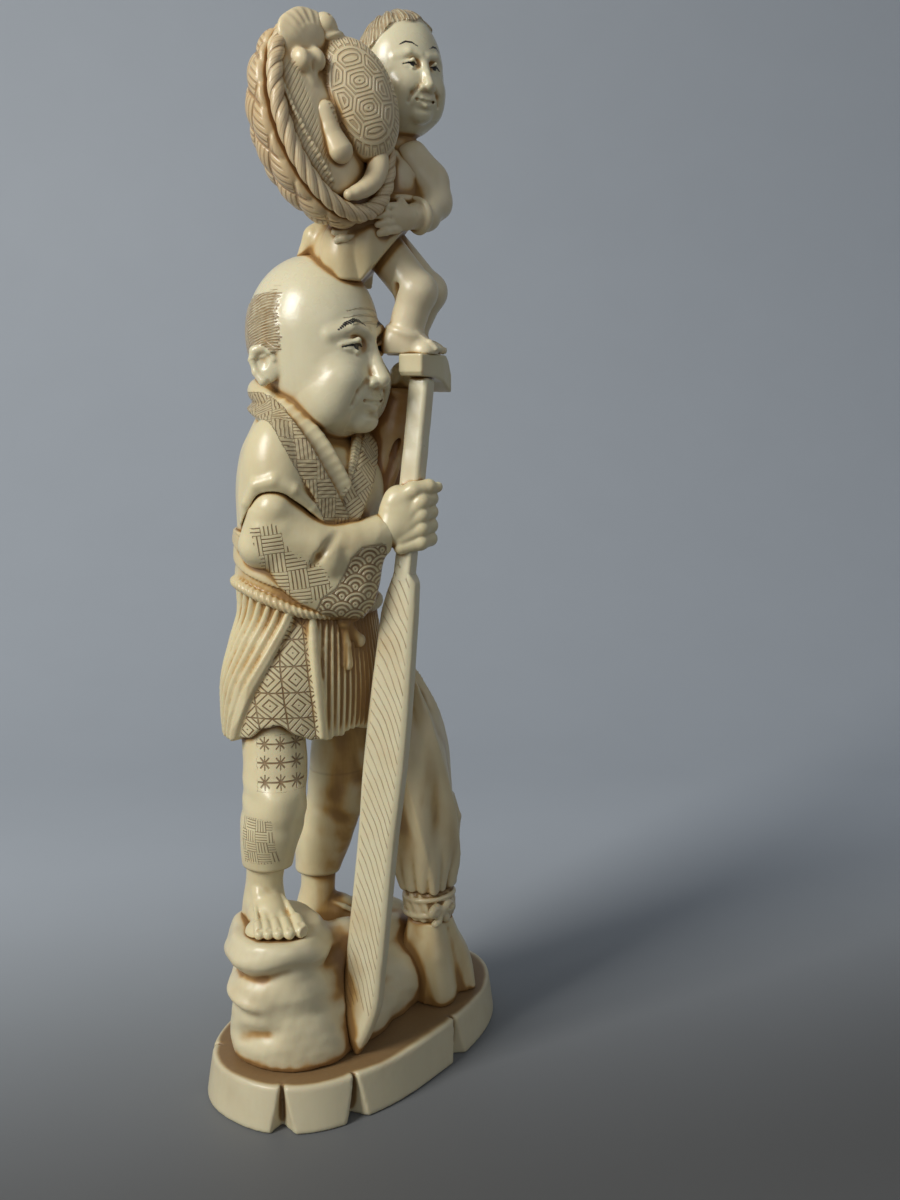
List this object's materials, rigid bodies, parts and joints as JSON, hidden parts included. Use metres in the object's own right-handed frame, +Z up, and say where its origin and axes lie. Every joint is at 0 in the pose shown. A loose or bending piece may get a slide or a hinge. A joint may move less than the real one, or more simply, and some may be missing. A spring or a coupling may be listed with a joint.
{
  "type": "okimono carving",
  "caption": "Free-standing carving of a fisherman with an oar on a rock and an oval plinth, a small boy on his head with a basket of catch, glued from pegged blocks.",
  "frame": {"origin": "middle of the plinth's underside, on the plane it stands on", "axes": "+Z up; +X along the plinth, towards the net bundle; -Y is where the fisherman looks"},
  "size_m": [0.0867, 0.0498, 0.2439],
  "materials": {
    "ivory_skin": "polished ivory",
    "ivory_cloth": "polished ivory, engraved and stained",
    "ivory_oar": "polished ivory, engraved along the blade",
    "ivory_basket": "polished ivory, cut as basketwork and stained",
    "ivory_catch": "polished ivory, engraved scutes and scales",
    "ivory_rock": "polished ivory, rough cut and stained low down",
    "ivory_plinth": "polished ivory",
    "peg": "plain ivory, matt, hidden"
  },
  "bodies": {
    "root": {"plinth": "ivory_plinth", "plinth_pegs": "peg", "rock": "ivory_rock", "net_bundle": "ivory_cloth", "bundle_tie": "ivory_cloth", "bundle_foot": "ivory_cloth", "right_leg": "ivory_skin", "left_leg": "ivory_skin", "leg_pegs": "peg", "skirt": "ivory_cloth", "sash": "ivory_cloth", "waist_pegs": "peg", "torso": "ivory_cloth", "right_sleeve": "ivory_cloth", "sash_knot": "ivory_cloth", "right_hand": "ivory_skin", "oar_shaft": "ivory_oar", "oar_blade": "ivory_oar", "oar_grip": "ivory_oar", "oar_peg": "peg", "man_head": "ivory_skin", "neck_peg": "peg", "left_sleeve": "ivory_cloth", "left_hand": "ivory_skin", "basket": "ivory_basket", "basket_rim": "ivory_basket", "turtle": "ivory_catch", "flat_fish": "ivory_catch", "eel": "ivory_catch", "boy_robe": "ivory_cloth", "boy_body": "ivory_skin", "boy_pegs": "peg", "boy_head": "ivory_skin", "boy_right_arm": "ivory_skin", "boy_left_arm": "ivory_skin", "boy_right_leg": "ivory_skin", "boy_left_leg": "ivory_skin"}
  },
  "joints": []
}
